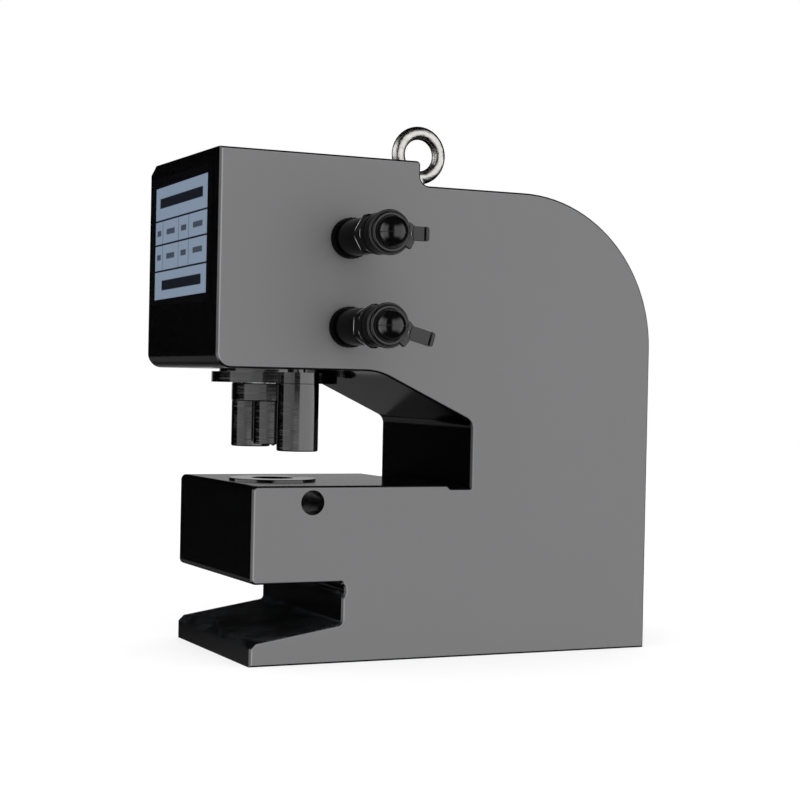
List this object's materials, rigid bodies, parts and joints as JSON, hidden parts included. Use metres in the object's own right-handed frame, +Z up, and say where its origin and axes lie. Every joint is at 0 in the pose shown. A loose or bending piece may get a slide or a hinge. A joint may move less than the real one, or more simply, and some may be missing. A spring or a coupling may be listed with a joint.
{
  "type": "hydraulic punching machine",
  "caption": "Portable C-frame hydraulic punch: steel C-shaped body bored as a cylinder, with punch, die, stripping posts, lifting eye and capped hose couplers.",
  "frame": {"origin": "where the punch axis meets the plane of the base", "axes": "+Z up along the punch axis, +X from the head's front towards the rear of the frame, -Y out of the side that carries the hose couplers"},
  "size_m": [0.431, 0.296, 0.4852],
  "materials": {
    "frame_enamel": "flat gray side faces; gloss black on every face and bevel between them",
    "label_foil": "satin bluish foil plate with a dark border",
    "zinc_steel": "zinc-plated forged steel",
    "ground_chrome": "ground and hard-chromed",
    "black_steel": "blackened turned steel, glossy",
    "tool_steel": "blackened and polished tool steel",
    "die_steel": "dark ground tool steel",
    "screw_steel": "black oxide",
    "coupler_black": "black phosphate, satin",
    "coupler_chrome": "bright nickel plate",
    "washer_brass": "plain brass",
    "seal_rubber": "black nitrile rubber",
    "seal_resin": "polyurethane",
    "guide_resin": "filled resin strip",
    "cap_plastic": "glossy dark moulded plastic"
  },
  "bodies": {
    "root": {"c_frame": "frame_enamel", "label_plate": "label_foil", "eye_bolt": "zinc_steel", "gland_nut": "black_steel", "gland_o_ring": "seal_rubber", "rod_seal": "seal_resin", "rod_wiper": "seal_resin", "gland_lock_screw": "screw_steel", "die": "die_steel", "die_lock_screw": "screw_steel", "stripper_plate": "black_steel", "stripper_plate_screws": "screw_steel", "stripper_post_near": "tool_steel", "stripper_post_far": "tool_steel", "stripper_post_screws": "screw_steel", "upper_port_adapter": "coupler_black", "upper_sealing_washer": "washer_brass", "upper_snap_ring": "screw_steel", "upper_coupler_body": "coupler_chrome", "upper_valve_spring": "screw_steel", "upper_valve_seal": "seal_rubber", "lower_port_adapter": "coupler_black", "lower_sealing_washer": "washer_brass", "lower_snap_ring": "screw_steel", "lower_coupler_body": "coupler_chrome", "lower_valve_spring": "screw_steel", "lower_valve_seal": "seal_rubber"},
    "ram": {"piston_rod": "ground_chrome", "piston_seal": "seal_rubber", "piston_guide_ring": "guide_resin", "punch_nut": "black_steel", "punch": "tool_steel"},
    "upper_collar": {"upper_knurled_collar": "coupler_black"},
    "lower_collar": {"lower_knurled_collar": "coupler_black"},
    "upper_cap": {"upper_dust_cap": "cap_plastic"},
    "lower_cap": {"lower_dust_cap": "cap_plastic"},
    "upper_poppet": {"upper_valve_poppet": "washer_brass"},
    "lower_poppet": {"lower_valve_poppet": "washer_brass"}
  },
  "joints": [
    {"name": "ram_stroke", "type": "slide", "parent": "root", "child": "ram", "axis": [0, 0, -1], "range_m": [0, 0.036]},
    {"name": "upper_collar_turn", "type": "hinge", "parent": "root", "child": "upper_collar", "pos_m": [0.029, -0.10155, 0.3682], "axis": [0, -1, 0], "continuous": true},
    {"name": "lower_collar_turn", "type": "hinge", "parent": "root", "child": "lower_collar", "pos_m": [0.029, -0.10155, 0.2914], "axis": [0, -1, 0], "continuous": true},
    {"name": "upper_cap_pull", "type": "slide", "parent": "root", "child": "upper_cap", "axis": [0, -1, 0], "range_m": [0, 0.03]},
    {"name": "lower_cap_pull", "type": "slide", "parent": "root", "child": "lower_cap", "axis": [0, -1, 0], "range_m": [0, 0.03]},
    {"name": "upper_poppet_push", "type": "slide", "parent": "root", "child": "upper_poppet", "axis": [0, 1, 0], "range_m": [0, 0.004], "stiffness_N_per_m": 1500, "springref_m": -0.006, "deforming": ["upper_valve_spring"]},
    {"name": "lower_poppet_push", "type": "slide", "parent": "root", "child": "lower_poppet", "axis": [0, 1, 0], "range_m": [0, 0.004], "stiffness_N_per_m": 1500, "springref_m": -0.006, "deforming": ["lower_valve_spring"]}
  ]
}
